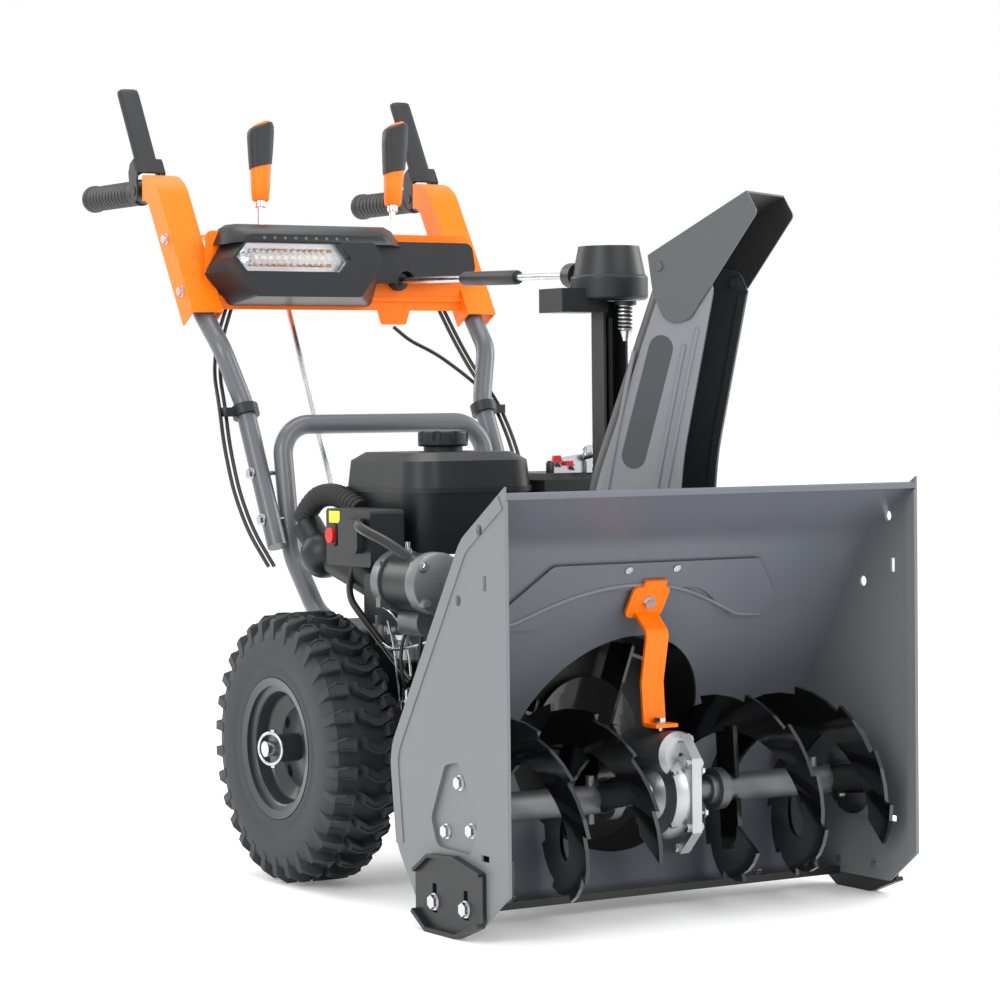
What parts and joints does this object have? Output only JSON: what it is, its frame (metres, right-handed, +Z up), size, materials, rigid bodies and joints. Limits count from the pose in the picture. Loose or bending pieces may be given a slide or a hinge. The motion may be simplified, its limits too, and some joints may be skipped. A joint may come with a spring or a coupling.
{
  "type": "two stage snowblower",
  "caption": "Walk-behind two-stage snowblower: serrated auger in a sloped housing, turning chute with hood, engine, snow tyres, console with levers and headlight.",
  "frame": {"origin": "on the ground, in the middle of the machine's width and length", "axes": "+Z up, +Y from the auger housing's mouth back to the grips, +X to the operator's left"},
  "size_m": [0.5848, 1.1763, 1.0084],
  "materials": {
    "housing_paint": "satin grey paint",
    "panel_paint": "satin dark grey paint",
    "orange_paint": "gloss orange paint",
    "black_paint": "gloss black paint",
    "tube_paint": "satin grey paint",
    "rim_paint": "satin dark paint",
    "zinc": "zinc plated",
    "cast_aluminium": "cast",
    "cast_block": "cast, grey",
    "black_plastic": "fine texture",
    "grey_plastic": "smooth satin",
    "orange_plastic": "satin",
    "red_plastic": "gloss",
    "rubber": "ribbed",
    "tyre_rubber": "snow tread",
    "lens": "clear",
    "reflector": "bright",
    "hot_metal": "heat resistant paint"
  },
  "bodies": {
    "machine": {"auger_housing": "panel_paint", "side_plate_right": "housing_paint", "side_plate_left": "housing_paint", "impeller_drum": "black_paint", "chute_collar": "black_plastic", "scraper_bar": "black_paint", "skid_shoe_right": "black_plastic", "skid_shoe_left": "black_plastic", "housing_bolts": "zinc", "auger_bearings": "zinc", "gearbox_half_right": "cast_aluminium", "gearbox_half_left": "cast_aluminium", "gearbox_brace": "orange_paint", "tractor_frame": "black_paint", "engine_block": "cast_block", "muffler_guard": "hot_metal", "intake_cover": "black_plastic", "fuel_tank": "black_plastic", "recoil_cover": "black_plastic", "starter_motor": "black_paint", "switch_box": "black_plastic", "heater_hose": "rubber", "belt_cover": "black_plastic", "lower_handle": "tube_paint", "upper_handle_right": "tube_paint", "upper_handle_left": "tube_paint", "handle_bolts": "zinc", "cable_clamps": "black_plastic", "console_panel": "orange_paint", "console_cover": "black_plastic", "headlight_lens": "lens", "headlight_lamps": "reflector", "grip_right": "rubber", "grip_left": "rubber", "control_cables": "rubber", "chute_gear_head": "black_plastic", "chute_post": "black_paint"},
    "wheels": {"wheel_axle": "zinc", "rim_right": "rim_paint", "rim_left": "rim_paint", "tyre_right": "tyre_rubber", "tyre_left": "tyre_rubber", "hub_pins": "zinc"},
    "auger": {"auger_shaft": "black_paint", "auger_flights_right": "black_paint", "auger_flights_left": "black_paint"},
    "impeller_rotor": {"impeller": "black_paint"},
    "chute_body": {"chute": "grey_plastic"},
    "deflector_hood": {"deflector": "grey_plastic"},
    "crank": {"chute_crank": "zinc"},
    "speed_lever": {"speed_lever_rod": "zinc", "speed_lever_knob": "black_plastic"},
    "deflector_lever": {"deflector_lever_rod": "zinc", "deflector_lever_knob": "black_plastic"},
    "shift_link": {"shift_rod": "zinc"},
    "right_paddle": {"paddle_right": "black_plastic"},
    "left_paddle": {"paddle_left": "black_plastic"},
    "filler_cap": {"fuel_cap": "black_plastic"},
    "starter_button": {"start_button": "red_plastic"}
  },
  "joints": [
    {"name": "wheels_spin", "type": "hinge", "parent": "machine", "child": "wheels", "pos_m": [0, -0.033, 0.165], "axis": [1, 0, 0], "continuous": true},
    {"name": "auger_spin", "type": "hinge", "parent": "machine", "child": "auger", "pos_m": [0, -0.474, 0.135], "axis": [1, 0, 0], "continuous": true},
    {"name": "impeller_spin", "type": "hinge", "parent": "machine", "child": "impeller_rotor", "pos_m": [0, -0.338, 0.185], "axis": [0, 1, 0], "continuous": true},
    {"name": "chute_rotate", "type": "hinge", "parent": "machine", "child": "chute_body", "pos_m": [0.01, -0.408, 0.42], "axis": [0, 0, 1], "range_deg": [-115, 40]},
    {"name": "crank_spin", "type": "hinge", "parent": "machine", "child": "crank", "pos_m": [0.012, -0.276, 0.731], "axis": [0.1355, 0.9903, 0.0293], "range_deg": [-700, 250]},
    {"name": "deflector_tilt", "type": "hinge", "parent": "chute_body", "child": "deflector_hood", "pos_m": [0.039, -0.45823, 0.733], "axis": [0.866, 0.5, 0], "range_deg": [0, 40]},
    {"name": "deflector_lever_swing", "type": "hinge", "parent": "machine", "child": "deflector_lever", "pos_m": [0.104, 0.31, 0.735], "axis": [1, 0, 0], "range_deg": [-35, 0]},
    {"name": "speed_lever_swing", "type": "hinge", "parent": "machine", "child": "speed_lever", "pos_m": [-0.112, 0.28, 0.735], "axis": [1, 0, 0], "range_deg": [-35, 0]},
    {"name": "shift_link_pivot", "type": "hinge", "parent": "speed_lever", "child": "shift_link", "pos_m": [-0.064, 0.308, 0.733], "axis": [1, 0, 0], "range_deg": [0, 35]},
    {"name": "right_paddle_squeeze", "type": "hinge", "parent": "machine", "child": "right_paddle", "pos_m": [-0.212, 0.412, 0.868], "axis": [1, 0, 0], "range_deg": [-61, 0], "stiffness_Nm_per_rad": 1.2, "springref_deg": 17.19},
    {"name": "left_paddle_squeeze", "type": "hinge", "parent": "machine", "child": "left_paddle", "pos_m": [0.212, 0.412, 0.868], "axis": [1, 0, 0], "range_deg": [-61, 0], "stiffness_Nm_per_rad": 1.2, "springref_deg": 17.19},
    {"name": "fuel_cap_turn", "type": "hinge", "parent": "machine", "child": "filler_cap", "pos_m": [-0.05, -0.078, 0.538], "axis": [0, 0, 1], "range_deg": [0, 90]},
    {"name": "start_button_press", "type": "slide", "parent": "machine", "child": "starter_button", "axis": [1, 0, 0], "range_m": [0, 0.003], "stiffness_N_per_m": 400, "springref_m": -0.001}
  ],
  "couplings": [
    {"joint": "impeller_spin", "follows": "auger_spin", "ratio": 10},
    {"joint": "crank_spin", "follows": "chute_rotate", "ratio": 6},
    {"joint": "deflector_lever_swing", "follows": "deflector_tilt", "ratio": -0.875},
    {"joint": "shift_link_pivot", "follows": "speed_lever_swing", "ratio": -1}
  ]
}
